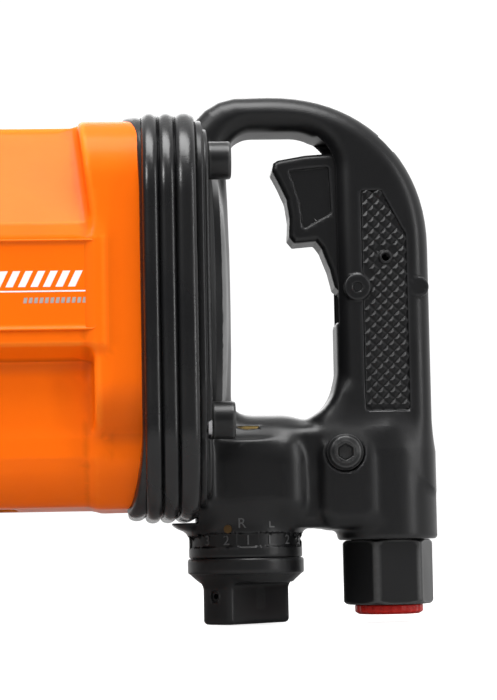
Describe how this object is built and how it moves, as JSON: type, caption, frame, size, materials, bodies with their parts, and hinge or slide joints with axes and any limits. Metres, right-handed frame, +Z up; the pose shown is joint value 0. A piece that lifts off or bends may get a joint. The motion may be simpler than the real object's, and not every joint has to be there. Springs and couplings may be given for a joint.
{
  "type": "impact wrench",
  "caption": "Heavy pneumatic impact wrench: square drive on a long anvil, hammers and air motor in bolted housings, rubber bumper, D-handle with trigger, power regulator, side handle.",
  "frame": {"origin": "centre of the front face of the square drive", "axes": "+X from the square drive to the rear along the motor axis, +Z up, so the left side faces -Y"},
  "size_m": [0.5521, 0.27, 0.2447],
  "materials": {
    "orange_paint": "gloss enamel",
    "black_casting": "satin powder coat",
    "case_aluminium": "cast",
    "plate_steel": "ground",
    "bearing_steel": "polished",
    "machined_steel": "turned",
    "black_steel": "black oxide",
    "bumper_rubber": "moulded",
    "grip_rubber": "ribbed",
    "seal_rubber": "smooth",
    "bronze": "turned",
    "brass": "turned",
    "gasket_sheet": "fibre",
    "blade_composite": "laminated phenolic",
    "red_plastic": "moulded"
  },
  "bodies": {
    "tool": {"motor_housing": "orange_paint", "hammer_case": "case_aluminium", "case_gasket": "gasket_sheet", "nose_bushing": "bronze", "front_oil_seal": "seal_rubber", "housing_bolts": "black_steel", "housing_bolt_washers": "machined_steel", "grease_nipple": "brass", "hanger_eye": "black_steel", "front_end_plate": "plate_steel", "rear_end_plate": "plate_steel", "cylinder_liner": "plate_steel", "liner_dowel": "bearing_steel", "rotor_seal": "seal_rubber", "front_bearing_outer_race": "bearing_steel", "rear_bearing_outer_race": "bearing_steel", "anvil_thrust_washer": "bronze", "backhead_gasket": "gasket_sheet", "backhead": "black_casting", "backhead_bolts": "black_steel", "backhead_washers": "machined_steel", "rubber_bumper": "bumper_rubber", "trigger_pin": "machined_steel", "throttle_rod_seal": "seal_rubber", "throttle_seat": "brass", "throttle_spring": "bearing_steel", "inlet_bushing": "black_steel", "inlet_screen": "bearing_steel", "oil_plug": "black_steel", "oil_plug_seal": "seal_rubber", "reverse_valve_bushing": "brass", "detent_spring": "bearing_steel", "pointer_pin": "brass", "exhaust_cover": "black_steel", "exhaust_cover_screws": "machined_steel"},
    "rotor": {"rotor": "machined_steel", "rotor_blades": "blade_composite", "front_bearing_inner_race": "bearing_steel", "rear_bearing_inner_race": "bearing_steel", "hammer_cage": "machined_steel", "hammer_pins": "bearing_steel"},
    "anvil": {"anvil": "machined_steel"},
    "front_ball_ring": {"front_bearing_balls": "bearing_steel"},
    "rear_ball_ring": {"rear_bearing_balls": "bearing_steel"},
    "front_hammer": {"front_hammer": "machined_steel"},
    "rear_hammer": {"rear_hammer": "machined_steel"},
    "trigger": {"trigger": "black_casting"},
    "throttle": {"throttle_rod": "machined_steel", "throttle_valve": "brass"},
    "regulator": {"regulator_knob": "black_casting", "reverse_valve": "machined_steel", "knob_set_screw": "machined_steel"},
    "detent": {"detent_ball": "bearing_steel"},
    "side_handle": {"side_handle_clamp": "black_casting", "side_handle_bar": "machined_steel", "side_handle_grip": "grip_rubber", "clamp_bolt": "black_steel", "clamp_nut": "black_steel"},
    "dust_plug": {"dust_plug": "red_plastic"}
  },
  "joints": [
    {"name": "rotor_spin", "type": "hinge", "parent": "tool", "child": "rotor", "pos_m": [0.36, 0, 0], "axis": [1, 0, 0], "continuous": true},
    {"name": "anvil_spin", "type": "hinge", "parent": "tool", "child": "anvil", "pos_m": [0.1, 0, 0], "axis": [1, 0, 0], "continuous": true},
    {"name": "front_balls_spin", "type": "hinge", "parent": "tool", "child": "front_ball_ring", "pos_m": [0.311, 0, 0], "axis": [1, 0, 0], "continuous": true},
    {"name": "rear_balls_spin", "type": "hinge", "parent": "tool", "child": "rear_ball_ring", "pos_m": [0.4215, 0, 0], "axis": [1, 0, 0], "continuous": true},
    {"name": "front_hammer_swing", "type": "hinge", "parent": "rotor", "child": "front_hammer", "pos_m": [0.2475, 0, 0.036], "axis": [1, 0, 0], "range_deg": [-5, 5]},
    {"name": "rear_hammer_swing", "type": "hinge", "parent": "rotor", "child": "rear_hammer", "pos_m": [0.2675, 0, -0.036], "axis": [1, 0, 0], "range_deg": [-5, 5]},
    {"name": "trigger_pull", "type": "hinge", "parent": "tool", "child": "trigger", "pos_m": [0.5176, 0, 0.0051], "axis": [0, 1, 0], "range_deg": [0, 10], "stiffness_Nm_per_rad": 1.5, "springref_deg": -5.73},
    {"name": "throttle_push", "type": "slide", "parent": "tool", "child": "throttle", "axis": [0, 0, -1], "range_m": [0, 0.0028], "deforming": ["throttle_spring"]},
    {"name": "regulator_turn", "type": "hinge", "parent": "tool", "child": "regulator", "pos_m": [0.467, 0, -0.127], "axis": [0, 0, 1], "range_deg": [0, 112.5]},
    {"name": "detent_lift", "type": "slide", "parent": "tool", "child": "detent", "axis": [0, 0, 1], "range_m": [0, 0.0006], "stiffness_N_per_m": 200, "springref_m": -0.001},
    {"name": "side_handle_swivel", "type": "hinge", "parent": "tool", "child": "side_handle", "pos_m": [0.19, 0, 0], "axis": [1, 0, 0], "continuous": true},
    {"name": "dust_plug_pull", "type": "slide", "parent": "tool", "child": "dust_plug", "axis": [0, 0, -1], "range_m": [0, 0.02]}
  ],
  "couplings": [
    {"joint": "anvil_spin", "follows": "rotor_spin", "ratio": 1},
    {"joint": "front_balls_spin", "follows": "rotor_spin", "ratio": 0.3831},
    {"joint": "rear_balls_spin", "follows": "rotor_spin", "ratio": 0.383},
    {"joint": "throttle_push", "follows": "trigger_pull", "m_per_rad": 0.0155}
  ]
}
